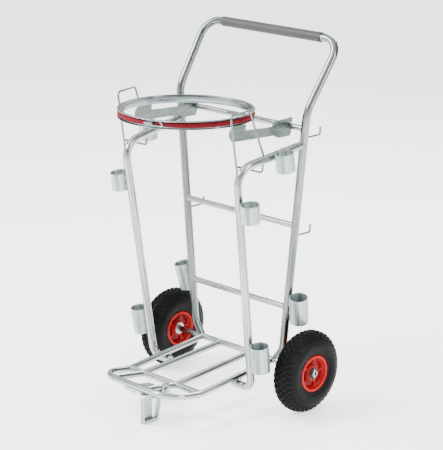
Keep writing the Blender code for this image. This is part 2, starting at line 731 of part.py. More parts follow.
def slot_outline():
    """The see-through slot in front of the rear leg."""
    return [(SLOT_LOW[0], SLOT_LOW[2]), (SLOT_LOW[1], SLOT_LOW[2]),
            (SLOT_HIGH[1], SLOT_HIGH[2]), (SLOT_HIGH[0], SLOT_HIGH[2])]


def pocket_outline():
    """The pressed pocket: everything in front of the rear leg but a wall all round."""
    top = FOOT_TOP - FOOT_WALL
    return [
        (FOOT_FRONT + FOOT_WALL, SLOT_LOW[2]),
        (SLOT_LOW[1], SLOT_LOW[2]),
        (SLOT_HIGH[1], SLOT_HIGH[2]),
        (SLOT_HIGH[1], FOOT_SHOULDER - FOOT_WALL),
        (FOOT_FRONT + 2 * FOOT_TOP, top),
        (FOOT_FRONT + FOOT_SHOULDER, top),
        (FOOT_FRONT + FOOT_WALL, top - FOOT_SHOULDER),
    ]


def build_foot():
    pivot = add_pivot("foot_axis", FOOT_PIVOT, trolley_origin())
    near, far = FOOT_SIDE_X
    past = 0.010
    foot = add_object("support_foot", extruded(foot_outline(), near, far), ZINC, pivot)
    pocket = as_cutter(add_object(
        "guide_foot_pocket", extruded(pocket_outline(), near + FOOT_WALL, far + past), ZINC, pivot))
    slot = as_cutter(add_object(
        "guide_foot_slot", extruded(slot_outline(), near - past, far + past), ZINC, pivot))
    hole = bmesh.new()
    add_rod(hole, AXIS_X * (near - past), AXIS_X * far, PIVOT_BOLT + 2 * GAP, 16)
    cut(foot, pocket, slot, as_cutter(add_object("guide_foot_hole", hole, ZINC, pivot)))


def under_nose(y):
    """Top face of a sheet that lies just under the bent-up nose."""
    return platform_height(y) - PLATFORM_TUBE / 2 - 2 * GAP


def sheet_outline(rear, front):
    return [(rear, under_nose(rear) - BRACKET_SHEET), (rear, under_nose(rear)),
            (front, under_nose(front)), (front, under_nose(front) - BRACKET_SHEET)]


def hexagon_bolt(name, seat, direction, shank_length, nut_start=None):
    """A bolt with its head behind the seat; the nut, if any, starts this far along the shank."""
    across_corners = BOLT_HEAD / math.cos(math.radians(30))
    head = bmesh.new()
    add_rod(head, seat - direction * BOLT_HEAD_HEIGHT, seat, across_corners, 6)
    shank = bmesh.new()
    add_rod(shank, seat - direction * 0.001, seat + direction * shank_length, PIVOT_BOLT, 12)
    union_of(name, ZINC_DARK, [head, shank])
    if nut_start is None:
        return
    start = seat + direction * nut_start
    end = start + direction * NUT_HEIGHT
    body = bmesh.new()
    add_rod(body, start, end, across_corners, 6)
    bore = bmesh.new()
    add_rod(bore, start - direction * 0.002, end + direction * 0.002, PIVOT_BOLT + 2 * GAP, 16)
    nut = add_object(name.replace("bolt", "nut"), body, ZINC_DARK)
    cut(nut, as_cutter(add_object("guide_bore_" + name, bore, ZINC_DARK)))


def build_bracket():
    sheet = BRACKET_SHEET
    ear_x = FOOT_SIDE_X[0] - GAP - sheet
    ear_end = ear_x + sheet
    wing_x = RIGHT_BAR_X[1] + PLATFORM_TUBE / 2 + GAP
    front_top = under_nose(BRACKET_FRONT)
    plate = extruded([
        (BRACKET_REAR, under_nose(BRACKET_REAR) - sheet), (BRACKET_REAR, under_nose(BRACKET_REAR)),
        (BRACKET_FRONT, front_top), (BRACKET_FRONT, front_top - BRACKET_LIP),
        (BRACKET_FRONT + sheet, front_top - BRACKET_LIP), (BRACKET_FRONT + sheet, front_top - sheet),
    ], BRACKET_LEFT, ear_end)
    ear_low = FOOT_PIVOT.z - EAR_DROP
    ear_front = FOOT_PIVOT.y - EAR_FRONT
    ear = extruded([
        (ear_front, under_nose(ear_front) - sheet / 2), (ear_front, FOOT_PIVOT.z),
        (FOOT_PIVOT.y - EAR_FRONT / 2, ear_low), (FOOT_PIVOT.y + EAR_FRONT / 2, ear_low),
        (WING_Y[0], under_nose(WING_Y[0]) - sheet / 2),
    ], ear_x, ear_end)
    overlap = sheet / 4
    crossing = extruded(sheet_outline(WING_Y[1] + 2 * sheet, WING_Y[0] - sheet), ear_x + overlap,
                        wing_x + sheet - overlap)
    wing = extruded([
        (WING_Y[1], under_nose(WING_Y[1]) - sheet + overlap),
        (WING_Y[1], under_nose(WING_Y[1]) + WING_RISE),
        (WING_Y[0], under_nose(WING_Y[0]) + WING_RISE),
        (WING_Y[0], under_nose(WING_Y[0]) - sheet + overlap),
    ], wing_x, wing_x + sheet)
    bracket = union_of("foot_bracket", ZINC, [plate, ear, crossing, wing])

    pivot_centre = Vector((ear_x, FOOT_PIVOT.y, FOOT_PIVOT.z))
    screw_seat = Vector((wing_x + sheet + GAP, *WING_SCREW))
    plate_top = Vector((BRACKET_BOLT.x, BRACKET_BOLT.y, under_nose(BRACKET_BOLT.y) + sheet / 2))
    holes = bmesh.new()
    bolt_hole = PIVOT_BOLT + 2 * GAP
    add_rod(holes, pivot_centre - AXIS_X * 0.010, pivot_centre + AXIS_X * 0.020, bolt_hole, 16)
    add_rod(holes, screw_seat - AXIS_X * 0.006, screw_seat + AXIS_X * 0.006, bolt_hole, 16)
    add_rod(holes, plate_top - AXIS_Z * 0.010, plate_top + AXIS_Z * 0.010, bolt_hole, 16)
    cut(bracket, as_cutter(add_object("guide_bracket_holes", holes, ZINC)))

    head_seat = Vector((FOOT_SIDE_X[0] + FOOT_WALL + GAP, FOOT_PIVOT.y, FOOT_PIVOT.z))
    grip_length = head_seat.x - ear_x + GAP
    hexagon_bolt("foot_pivot_bolt", head_seat, -AXIS_X, grip_length + NUT_HEIGHT + 0.002, grip_length)
    hexagon_bolt("bracket_screw", screw_seat, -AXIS_X, sheet)
    nut_seat = 2.5 * sheet
    hexagon_bolt("bracket_bolt", plate_top, -AXIS_Z, BRACKET_BOLT_LENGTH, nut_seat)


def main():
    clear_scene()
    guides = build_cutters()
    build_frame(guides)
    build_grip()
    build_platform(guides)
    build_axle()
    build_wheel("right", 1)
    build_wheel("left", -1)
    build_ring()
    build_ring_plates()
    build_guides()
    build_cups()
    build_hooks()
    build_foot()
    build_bracket()


main()
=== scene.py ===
"""Looks of the two-wheeled sack and tool trolley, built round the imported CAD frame."""

import math

import bmesh
import bpy
import numpy as np
from mathutils import Matrix, Vector, noise


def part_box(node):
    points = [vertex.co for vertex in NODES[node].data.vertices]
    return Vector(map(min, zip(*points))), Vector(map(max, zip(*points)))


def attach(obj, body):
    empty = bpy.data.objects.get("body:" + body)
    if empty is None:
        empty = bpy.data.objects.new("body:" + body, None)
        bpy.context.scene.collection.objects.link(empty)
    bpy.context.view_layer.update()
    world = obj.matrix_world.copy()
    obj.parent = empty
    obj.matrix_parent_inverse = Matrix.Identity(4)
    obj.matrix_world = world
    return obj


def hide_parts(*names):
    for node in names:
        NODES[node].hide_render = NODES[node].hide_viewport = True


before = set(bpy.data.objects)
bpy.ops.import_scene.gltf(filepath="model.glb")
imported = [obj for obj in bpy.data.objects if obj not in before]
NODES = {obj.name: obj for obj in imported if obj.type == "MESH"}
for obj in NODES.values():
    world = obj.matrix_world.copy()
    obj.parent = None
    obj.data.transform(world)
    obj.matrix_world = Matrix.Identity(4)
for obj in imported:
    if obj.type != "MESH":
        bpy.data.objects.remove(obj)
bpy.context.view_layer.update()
SIDES = ((1, "right"), (-1, "left"))


# ---------------------------------------------------------------- places taken from the frame
def middle(node):
    low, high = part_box(node)
    return (low + high) / 2


AXLE = middle("axle_tube")
TYRE_LOW, TYRE_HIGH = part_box("tyre_right")
TYRE_R = (TYRE_HIGH.z - TYRE_LOW.z) / 2
TYRE_HALF = (TYRE_HIGH.x - TYRE_LOW.x) / 2
RIM_LOW, RIM_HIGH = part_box("rim_right")
RIM_R = (RIM_HIGH.z - RIM_LOW.z) / 2
RIM_HALF = (RIM_HIGH.x - RIM_LOW.x) / 2
RING_LOW, RING_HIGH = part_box("sack_ring")
RING = (RING_LOW + RING_HIGH) / 2
RING_R = (RING_HIGH.x - RING_LOW.x) / 2
BAND_LOW, BAND_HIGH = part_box("elastic_band")
BAND_MID = (BAND_HIGH.z + BAND_LOW.z) / 2
GRIP_LOW, GRIP_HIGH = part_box("handle_grip")

# ---------------------------------------------------------------- sizes shared with the CAD
FRAME_TUBE = 0.025
PLATFORM_TUBE = 0.020
RUNG_ROD = 0.018
GUIDE_WIRE = 0.0065
HOOK_WIRE = 0.0060
AXLE_BORE_R = 0.007

# Corners of the centre lines on the right: across, behind the axle, above the floor.
FRAME_Y = 0.004
UPRIGHT_END = (0.166, FRAME_Y, 0.132)
UPRIGHT_LOW = (0.1968, FRAME_Y, 0.173)
UPRIGHT_HIGH = (0.2752, FRAME_Y, 0.9375)
HANDLE_CORNER = (0.2864, 0.1343, 1.1416)
LEG_TOE = (0.143, -0.157, 0.090)
LEG_HEEL = (0.2198, -0.157, 0.090)
LEG_KNEE = (0.2446, -0.259, 0.796)
ARM_END = (0.2662, -0.009, 0.8385)
RAIL_X = 0.158
CROSS_Y = -0.3140
KINK_Y, KINK_Z = -0.3190, 0.0950
NOSE_Y, NOSE_Z = -0.4400, 0.1120


def at(x, y, z):
    """A point given across, behind the axle and above the floor."""
    return Vector((x, y + AXLE.y, z))


def mirror(point, side):
    return Vector((side * point.x, point.y, point.z))


def beside(place, side):
    """The point at a place given for the right, or its mirror image for side -1."""
    return mirror(at(*place), side)


# ---------------------------------------------------------------- node materials
WHITE = (1.0, 1.0, 1.0)


def add_node(tree, kind, **settings):
    """A node with its inputs and properties set; From_Min stands for the input "From Min"."""
    made = tree.nodes.new(kind)
    for key, value in settings.items():
        socket = key.replace("_", " ")
        if socket in made.inputs:
            made.inputs[socket].default_value = value
        else:
            setattr(made, key, value)
    return made


class Finish:
    """A Principled material that is built up node by node."""

    def __init__(self, name, metallic, roughness, **sockets):
        self.material = bpy.data.materials.new(name)
        self.material.use_nodes = True
        self.tree = self.material.node_tree
        self.shader = self.tree.nodes["Principled BSDF"]
        self.shader.inputs["Metallic"].default_value = metallic
        self.shader.inputs["Roughness"].default_value = roughness
        for socket, value in sockets.items():
            self.shader.inputs[socket.replace("_", " ")].default_value = value
        self.normal = None

    def add(self, kind, **settings):
        return add_node(self.tree, kind, **settings)

    def link(self, output, socket):
        self.tree.links.new(output, socket)

    def coordinates(self, space, scale=(1, 1, 1)):
        source = self.add("ShaderNodeTexCoord")
        mapping = self.add("ShaderNodeMapping", Scale=scale)
        self.link(source.outputs[space], mapping.inputs["Vector"])
        return mapping.outputs["Vector"]

    def noise(self, vector, scale, detail=3.0, roughness=0.55):
        made = self.add("ShaderNodeTexNoise", Scale=scale, Detail=detail, Roughness=roughness)
        self.link(vector, made.inputs["Vector"])
        return made.outputs["Fac"]

    def wave(self, vector, direction, scale, distortion):
        made = self.add("ShaderNodeTexWave", wave_type="BANDS", bands_direction=direction,
                        Scale=scale, Distortion=distortion)
        self.link(vector, made.inputs["Vector"])
        return made.outputs["Fac"]

    def ramp(self, value, stops):
        made = self.add("ShaderNodeValToRGB")
        elements = made.color_ramp.elements
        while len(elements) < len(stops):
            elements.new(0.5)
        for element, (position, colour) in zip(elements, stops):
            element.position = position
            element.color = (*colour, 1.0)
        self.link(value, made.inputs["Fac"])
        return made.outputs["Color"]

    def spread(self, value, low, high):
        """Stretches the middle of a noise pattern over low to high."""
        made = self.add("ShaderNodeMapRange", From_Min=0.3, From_Max=0.7, To_Min=low, To_Max=high)
        self.link(value, made.inputs["Value"])
        return made.outputs["Result"]

    def multiply(self, first, second, share):
        made = self.add("ShaderNodeMix", data_type="RGBA", blend_type="MULTIPLY")
        made.inputs[0].default_value = share
        colours = [socket for socket in made.inputs if socket.type == "RGBA"]
        self.link(first, colours[0])
        self.link(second, colours[1])
        return [socket for socket in made.outputs if socket.type == "RGBA"][0]

    def colour(self, output):
        self.link(output, self.shader.inputs["Base Color"])

    def roughness(self, output):
        self.link(output, self.shader.inputs["Roughness"])

    def bump(self, value, strength, distance):
        """Adds a pattern of heights on top of the bumps made before."""
        made = self.add("ShaderNodeBump", Strength=strength, Distance=distance)
        self.link(value, made.inputs["Height"])
        if self.normal is not None:
            self.link(self.normal, made.inputs["Normal"])
        self.normal = made.outputs["Normal"]
        self.link(self.normal, self.shader.inputs["Normal"])


def zinc(name, light, dark, rough, space, stretch, metallic=1.0):
    """Bright zinc: long light and dark bands, partly drawing marks and partly painted reflection,
    cloudy passivation and fine pitting.
    """
    made = Finish(name, metallic, rough)
    streaks_and_reflections = made.noise(made.coordinates(space, stretch), 1.0, 4.0, 0.62)
    clouds = made.noise(made.coordinates("Object"), 9.0, 4.0)
    pits = made.noise(made.coordinates("Object"), 620.0, 2.0)
    between = tuple((a + b) / 2 for a, b in zip(light, dark))
    # The light and dark band colours are partly painted reflection of the studio, not only drawing
    # marks.
    base = made.ramp(streaks_and_reflections, [(0.36, dark), (0.49, between), (0.62, light)])
    tint = made.ramp(clouds, [(0.32, (0.86, 0.93, 0.90)), (0.5, WHITE), (0.68, (0.93, 0.93, 1.0))])
    made.colour(made.multiply(base, tint, 0.65))
    made.roughness(made.spread(streaks_and_reflections, rough - 0.08, rough + 0.12))
    made.bump(pits, 0.10, 0.0004)
    made.bump(streaks_and_reflections, 0.16, 0.0008)
    return made.material


def weld_metal():
    made = Finish("weld_zinc", 1.0, 0.36)
    grain = made.noise(made.coordinates("Object"), 240.0, 4.0)
    made.colour(made.ramp(grain, [(0.35, (0.22, 0.24, 0.23)), (0.65, (0.46, 0.48, 0.46))]))
    made.roughness(made.spread(grain, 0.26, 0.46))
    made.bump(grain, 0.45, 0.0008)
    return made.material


def tyre_rubber():
    made = Finish("black_rubber", 0.0, 0.50, Specular_IOR_Level=0.08)
    place = made.coordinates("Object")
    dust = made.noise(place, 26.0, 5.0)
    grain = made.noise(place, 900.0, 2.0)
    made.colour(made.ramp(dust, [(0.30, (0.0025, 0.0025, 0.0027)), (0.55, (0.0042, 0.0042, 0.0044)),
                                 (0.75, (0.010, 0.010, 0.0097))]))
    made.roughness(made.spread(dust, 0.40, 0.60))
    made.bump(grain, 0.25, 0.0005)
    return made.material


def moulded_red(name, deep, bright, rough):
    made = Finish(name, 0.0, rough, Specular_IOR_Level=0.12)
    place = made.coordinates("Object")
    flow = made.noise(place, 14.0, 3.0)
    skin = made.noise(place, 1100.0, 2.0)
    made.colour(made.ramp(flow, [(0.32, deep), (0.68, bright)]))
    made.roughness(made.spread(flow, rough - 0.06, rough + 0.08))
    made.bump(skin, 0.12, 0.0003)
    return made.material


def grip_rubber():
    made = Finish("grip_vinyl", 0.0, 0.55, Specular_IOR_Level=0.4)
    place = made.coordinates("Object")
    haze = made.noise(place, 18.0, 4.0)
    skin = made.noise(place, 1400.0, 3.0)
    made.colour(made.ramp(haze, [(0.32, (0.019, 0.022, 0.022)), (0.68, (0.035, 0.039, 0.038))]))
    made.roughness(made.spread(haze, 0.48, 0.66))
    made.bump(skin, 0.30, 0.0004)
    return made.material


def woven_elastic():
    """Ribbed elastic webbing: fine cords round the band crossed by short picks."""
    made = Finish("woven_elastic", 0.0, 0.60, Specular_IOR_Level=0.15)
    place = made.coordinates("UV")
    cords = made.wave(place, "Y", 260.0, 0.6)
    picks = made.wave(place, "X", 190.0, 0.4)
    wear = made.noise(place, 30.0, 4.0)
    body = made.ramp(wear, [(0.30, (0.085, 0.0008, 0.0045)), (0.70, (0.150, 0.0016, 0.008))])
    # The darkening between the cords is painted shade in the grooves.
    shade = made.ramp(cords, [(0.0, (0.70, 0.62, 0.64)), (0.6, WHITE)])
    made.colour(made.multiply(body, shade, 0.6))
    made.roughness(made.spread(wear, 0.58, 0.76))
    made.bump(picks, 0.25, 0.0003)
    made.bump(cords, 0.45, 0.0004)
    return made.material


# Texture space and stretch of the light and dark bands on swept tubes and on wires, partly drawing
# marks and partly painted reflection.
TUBE_STREAKS_AND_REFLECTION = ("UV", (150.0, 2.2, 1.0))
WIRE_STREAKS_AND_REFLECTION = ("UV", (240.0, 6.0, 1.0))

ZINC_TUBE = zinc("zinc_tube", (0.53, 0.575, 0.55), (0.15, 0.176, 0.160), 0.21, *TUBE_STREAKS_AND_REFLECTION)
# The back frame's darker copy of the tube zinc is painted dark reflection.
ZINC_FRAME_DARK_REFLECTION = zinc("zinc_frame_painted_reflection", (0.28, 0.315, 0.29), (0.055, 0.068, 0.060), 0.22, *TUBE_STREAKS_AND_REFLECTION)
ZINC_RUNG = zinc("zinc_rung", (0.42, 0.455, 0.435), (0.12, 0.14, 0.13), 0.24, *TUBE_STREAKS_AND_REFLECTION)
ZINC_WIRE = zinc("zinc_wire", (0.24, 0.255, 0.248), (0.11, 0.12, 0.115), 0.27, *WIRE_STREAKS_AND_REFLECTION)
ZINC_CUP = zinc("zinc_cup", (0.50, 0.57, 0.57), (0.20, 0.245, 0.24), 0.28,
                "UV", (70.0, 2.5, 1.0), 0.55)
ZINC_RING = zinc("zinc_ring", (0.38, 0.425, 0.43), (0.075, 0.098, 0.10), 0.20,
                 "UV", (5.0, 160.0, 1.0))
ZINC_PLATE = zinc("zinc_sheet", (0.20, 0.235, 0.215), (0.125, 0.150, 0.136), 0.36,
                  "Object", (30.0, 30.0, 90.0))
ZINC_FOOT = zinc("zinc_pressing", (0.46, 0.50, 0.49), (0.25, 0.29, 0.28), 0.28,
                 "Object", (160.0, 160.0, 12.0))
ZINC_BRACKET = zinc("zinc_bracket", (0.46, 0.51, 0.52), (0.26, 0.30, 0.31), 0.28,
                    "Object", (40.0, 9.0, 40.0))
ZINC_SMALL = zinc("zinc_fastener", (0.60, 0.61, 0.60), (0.30, 0.31, 0.31), 0.30,
                  "Object", (220.0, 220.0, 220.0))
ZINC_BRIGHT = zinc("zinc_bright", (0.92, 0.90, 0.88), (0.66, 0.62, 0.60), 0.22, *WIRE_STREAKS_AND_REFLECTION, 0.7)
# Very dark zinc: on the outer hub washers the darkness is painted shade; the clasp's twisted wire
# takes it too.
ZINC_DARK_AND_SHADE = zinc("zinc_dark_and_painted_shade", (0.060, 0.055, 0.055), (0.020, 0.018, 0.018), 0.48,
                 "Object", (180.0, 180.0, 180.0))
WELD = weld_metal()
RUBBER = tyre_rubber()
RED = moulded_red("moulded_red", (0.17, 0.0010, 0.002), (0.24, 0.0020, 0.003), 0.34)
# The lip's lighter red is a lit copy of the rim red: painted highlight on the raised lip.
RED_LIP_PAINTED_LIGHT = moulded_red("moulded_red_lip_painted_light", (0.30, 0.0025, 0.004), (0.39, 0.0045, 0.006), 0.34)
GRIP = grip_rubber()
ELASTIC = woven_elastic()


# ---------------------------------------------------------------- mesh building
class Shell:
    """Vertices, faces and texture places gathered into one mesh."""

    def __init__(self):
        self.points = []
        self.faces = []
        self.places = []

    def grid(self, rows, across, along, closed_rows=False):
        """Quads between closed rows of points; across and along are the texture places."""
        count, width = len(rows), len(rows[0])
        start = len(self.points)
        for row in rows:
            self.points.extend(row)
        for i in range(count if closed_rows else count - 1):
            following = (i + 1) % count
            for j in range(width):
                k = (j + 1) % width
                self.faces.append((start + i * width + j, start + i * width + k,
                                   start + following * width + k, start + following * width + j))
                self.places.append(((across[j], along[i]), (across[j + 1], along[i]),
                                    (across[j + 1], along[i + 1]), (across[j], along[i + 1])))

    def cap(self, ring, flip=False):
        start = len(self.points)
        self.points.extend(ring)
        order = list(range(start, start + len(ring)))
        self.faces.append(tuple(reversed(order)) if flip else tuple(order))
        self.places.append(tuple((point[0], point[1]) for point in
                                 (reversed(ring) if flip else ring)))

    def close_ends(self, rows):
        self.cap(rows[0])
        self.cap(rows[-1], True)

    def build(self, name, finish, body, slot, replaced=(), sharp=38):
        """The mesh as a piece on a body; edges sharper than so many degrees stay sharp."""
        mesh = bpy.data.meshes.new(name)
        mesh.from_pydata([tuple(point) for point in self.points], [], self.faces)
        layer = mesh.uv_layers.new(name="UVMap")
        flat = [value for face in self.places for corner in face for value in corner]
        layer.data.foreach_set("uv", flat)
        mesh.validate()
        mesh.update()
        made = bpy.data.objects.new(name, mesh)
        bpy.context.scene.collection.objects.link(made)
        mesh.materials.append(finish)
        tidy_normals(mesh)
        mesh.shade_smooth()
        mesh.set_sharp_from_angle(angle=math.radians(sharp))
        if replaced:
            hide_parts(*replaced)
        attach(made, body)


def tidy_normals(mesh):
    """Merges the doubled points of caps and seams and turns every face outward."""
    builder = bmesh.new()
    builder.from_mesh(mesh)
    bmesh.ops.remove_doubles(builder, verts=builder.verts, dist=1e-6)
    bmesh.ops.recalc_face_normals(builder, faces=builder.faces)
    builder.to_mesh(mesh)
    builder.free()


def filleted(points, bends, step=math.radians(4)):
    """The path through the points with a circular bend at each inner point."""
    path = [points[0]]
    for before, corner, after, bend in zip(points, points[1:], points[2:], bends):
        inward = (before - corner).normalized()
        outward = (after - corner).normalized()
        turn = math.pi - inward.angle(outward)
        centre = corner + (inward + outward).normalized() * (bend / math.cos(turn / 2))
        start = corner + inward * (bend * math.tan(turn / 2))
        axis = (-inward).cross(outward).normalized()
        steps = max(3, math.ceil(turn / step))
        for index in range(steps + 1):
            swing = Matrix.Rotation(turn * index / steps, 3, axis)
            path.append(centre + swing @ (start - centre))
    path.append(points[-1])
    return path


def frames_along(path, closed):
    """Two cross directions at each point of the path, carried along without twist."""
    count = len(path)
    tangents = []
    for i in range(count):
        before = path[i - 1] if closed or i else path[i]
        after = path[(i + 1) % count] if closed or i < count - 1 else path[i]
        tangents.append((after - before).normalized())
    across = tangents[0].orthogonal().normalized()
    result = []
    for i, tangent in enumerate(tangents):
        if i:
            across = tangents[i - 1].rotation_difference(tangent) @ across
        across = (across - tangent * across.dot(tangent)).normalized()
        result.append((across, tangent.cross(across)))
    return result


def sweep(shell, path, radius, sides, closed=False, bore=None, rounding=0.0):
    """A round bar or tube along a path; a list of radii follows the points."""
    radii = radius if isinstance(radius, list) else [radius] * len(path)
    if rounding:
        path, radii = with_round_ends(path, radii, rounding)
    turns = [2 * math.pi * j / sides for j in range(sides)]
    rows, inner_rows, along = [], [], [0.0]
    for i, (across, second) in enumerate(frames_along(path, closed)):
        spokes = [across * math.cos(turn) + second * math.sin(turn) for turn in turns]
        rows.append([path[i] + spoke * radii[i] for spoke in spokes])
        if bore:
            inner_rows.append([path[i] + spoke * bore for spoke in spokes])
        if i:
            along.append(along[-1] + (path[i] - path[i - 1]).length)
    along.append(along[-1] + (path[0] - path[-1]).length)
    round_about = [2 * math.pi * radii[len(radii) // 2] * j / sides for j in range(sides + 1)]
    shell.grid(rows, round_about, along, closed_rows=closed)
    if bore:
        shell.grid(inner_rows, round_about, along)
        for i in (0, -1):
            shell.grid([rows[i], inner_rows[i]], round_about, [0.0, 0.003])
    elif not closed:
        shell.close_ends(rows)
    return shell


def with_round_ends(path, radii, rounding):
    """Adds a small radius to both ends of a bar."""
    def end(point, inner, radius):
        back = (inner - point).normalized()
        made = []
        for step in range(5):
            turn = math.pi / 2 * step / 4
            made.append((point + back * (rounding * (1 - math.sin(turn))),
                         radius - rounding * (1 - math.cos(turn))))
        return made
    first = end(path[0], path[1], radii[0])[::-1]
    last = end(path[-1], path[-2], radii[-1])
    points = [item[0] for item in first] + list(path[1:-1]) + [item[0] for item in last]
    sizes = [item[1] for item in first] + list(radii[1:-1]) + [item[1] for item in last]
    return points, sizes


def bar(name, finish, node, path, radius, sides, **shape):
    """A swept tube or rod of the frame, in the place of one CAD node."""
    sweep(Shell(), path, radius, sides, **shape).build(name, finish, "frame", "zinc_plate", [node])


def travelled(profile):
    """The distance along an outline of pairs, at each of its points."""
    travel = [0.0]
    for (a, b), (c, d) in zip(profile, profile[1:]):
        travel.append(travel[-1] + math.hypot(c - a, d - b))
    return travel


def revolve(shell, profile, centre, axis, segments):
    """Spin a closed outline of (along, radius) pairs about an axis through the centre."""
    axis = Vector(axis)
    across = Vector((0, 0, 1)) if abs(axis.z) < 0.5 else Vector((1, 0, 0))
    across = (across - axis * across.dot(axis)).normalized()
    second = axis.cross(across)
    rows = []
    for along, radius in profile:
        rows.append([centre + axis * along
                     + (across * math.cos(2 * math.pi * j / segments)
                        + second * math.sin(2 * math.pi * j / segments)) * radius
                     for j in range(segments)])
    biggest = max(radius for _, radius in profile)
    around = [2 * math.pi * biggest * j / segments for j in range(segments + 1)]
    travel = travelled(profile)
    shell.grid(rows, around, travel + [travel[-1] + 0.002], closed_rows=True)
    return shell


def rounded(corners, radius):
    """A closed (a, b) outline with each corner rounded by up to the radius."""
    steps = 3
    made = []
    count = len(corners)
    for i, (x, y) in enumerate(corners):
        before = Vector(corners[i - 1]) - Vector((x, y))
        after = Vector(corners[(i + 1) % count]) - Vector((x, y))
        reach = min(radius, before.length * 0.48, after.length * 0.48)
        first = Vector((x, y)) + before.normalized() * reach
        last = Vector((x, y)) + after.normalized() * reach
        for step in range(steps + 1):
            t = step / steps
            point = first * (1 - t) ** 2 + Vector((x, y)) * (2 * t * (1 - t)) + last * t ** 2
            made.append((point.x, point.y))
    return made


def circle(steps):
    """Angles of evenly spaced points once round."""
    return np.linspace(0, 2 * math.pi, steps + 1)[:-1]


# ---------------------------------------------------------------- tube runs
def across_both_sides(half, bends):
    """A path from the right to its mirror image on the left, with its bends."""
    return filleted(half + [mirror(p, -1) for p in half[::-1]], bends + bends[::-1])


def leg_path(side):
    points = [beside(place, side) for place in (LEG_TOE, LEG_HEEL, LEG_KNEE, ARM_END)]
    return filleted(points, [0.036, 0.058])


KINK = at(RAIL_X, KINK_Y, KINK_Z)
NOSE = at(RAIL_X, NOSE_Y, NOSE_Z)


def platform_height(y):
    """Height of the platform's centre line above the floor."""
    if y > KINK_Y:
        return AXLE.z + (KINK.z - AXLE.z) * (y / KINK_Y)
    return KINK.z + (NOSE.z - KINK.z) * ((y - KINK_Y) / (NOSE_Y - KINK_Y))


def upright_x(height):
    share = (height - UPRIGHT_LOW[2]) / (UPRIGHT_HIGH[2] - UPRIGHT_LOW[2])
    return UPRIGHT_LOW[0] + share * (UPRIGHT_HIGH[0] - UPRIGHT_LOW[0])


def upright_ends(side):
    return beside(UPRIGHT_LOW, side), beside(UPRIGHT_HIGH, side)


def leg_point(height, side):
    share = (height - LEG_HEEL[2]) / (LEG_KNEE[2] - LEG_HEEL[2])
    return mirror(at(*LEG_HEEL).lerp(at(*LEG_KNEE), share), side)


def arm_x(y):
    share = (y - LEG_KNEE[1]) / (ARM_END[1] - LEG_KNEE[1])
    return LEG_KNEE[0] + max(share, 0.0) * (ARM_END[0] - LEG_KNEE[0])


# ---------------------------------------------------------------- weld beads
WELDS = Shell()
LEG_WELD, RUNG_WELD, PLATFORM_WELD = 0.0022, 0.0018, 0.0015


def bead(path, radius, closed=False, seed=0.0):
    """A rippled weld bead along a path; an open one tapers at its ends."""
    radii = []
    for i, point in enumerate(path):
        lump = noise.noise(point * 260 + Vector((seed, 0, 0)))
        radii.append(radius * (1.0 + 0.22 * lump + 0.10 * math.sin(i * 1.9)))
    if not closed:
        radii[0] *= 0.45
        radii[-1] *= 0.45
    sweep(WELDS, path, radii, 10, closed)


def saddle_bead(end, towards, radius, line_start, line_end, main, size):
    """A bead round the end of a tube, where it meets a bigger tube along a line.

    The first tube has the given radius and runs from its end towards another point.
    The bigger tube has the diameter main.
    """
    line = line_end - line_start
    share = (end - line_start).dot(line) / line.length_squared
    point = line_start + line * share
    direction = (towards - end).normalized()
    line = line.normalized()
    first = (line - direction * line.dot(direction)).normalized()
    second = direction.cross(first)
    steps = 48
    path = []
    for j in range(steps):
        turn = 2 * math.pi * j / steps
        start = end + (first * math.cos(turn) + second * math.sin(turn)) * (radius + size * 0.15)
        offset = start - point
        flat = offset - line * offset.dot(line)
        across = direction - line * direction.dot(line)
        a, b = across.length_squared, 2 * flat.dot(across)
        c = flat.length_squared - (main / 2) ** 2
        t = (-b + math.sqrt(max(b * b - 4 * a * c, 0.0))) / (2 * a)
        path.append(start + direction * t)
    bead(path, size, True, end.z * 7)


# ---------------------------------------------------------------- frame, platform and grip
def upright_foot_bead(side):
    """The bead where an upright's end stands on the axle tube."""
    foot = beside(UPRIGHT_END, side)
    bead([foot + Vector((side * 0.011 * math.cos(t), 0.0128 * math.sin(t),
                         0.004 + 0.004 * math.sin(t)))
          for t in np.linspace(-math.pi / 2, math.pi / 2, 22)], 0.0019)


def rail_beads(side):
    """The two beads where a front leg passes under the platform's side rail."""
    leg_y = LEG_HEEL[1]
    rail = beside((RAIL_X, leg_y, platform_height(leg_y)), side)
    for face in (-1, 1):
        bead([rail + Vector((side * 0.0095 * math.cos(t) + side * 0.001, face * 0.0118,
                             -0.0095 * math.sin(t) - 0.002))
              for t in np.linspace(0.4, 2.4, 16)], 0.0018)


def tubes():
    half = [at(*place) for place in (UPRIGHT_END, UPRIGHT_LOW, UPRIGHT_HIGH, HANDLE_CORNER)]
    bar("frame_tube", ZINC_FRAME_DARK_REFLECTION, "back_frame", across_both_sides(half, [0.060, 0.110, 0.058]),
        FRAME_TUBE / 2, 36)
    for side, label in SIDES:
        bar(f"leg_tube_{label}", ZINC_TUBE, f"front_leg_{label}", leg_path(side),
            FRAME_TUBE / 2, 36, rounding=0.0012)
        low, high = upright_ends(side)
        share = (beside(ARM_END, side).z - low.z) / (high.z - low.z)
        saddle_bead(low.lerp(high, share), beside(LEG_KNEE, side), FRAME_TUBE / 2, low, high,
                    FRAME_TUBE, LEG_WELD)
        upright_foot_bead(side)
        rail_beads(side)
    for name in ("top_rung", "middle_rung", "lower_rung"):
        low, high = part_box(name)
        height = (low.z + high.z) / 2
        reach = upright_x(height)
        left, right = at(-reach, FRAME_Y, height), at(reach, FRAME_Y, height)
        bar(name + "_bar", ZINC_RUNG, name, [left, right], RUNG_ROD / 2, 28)
        for side, end, other in ((-1, left, right), (1, right, left)):
            saddle_bead(end, other, RUNG_ROD / 2, *upright_ends(side), FRAME_TUBE, RUNG_WELD)


# Inner platform bars: label, where they leave the axle and where they cross the cross tube.
INNER_BARS = (("left", -0.0735, -0.0960), ("right", 0.0590, 0.0500))


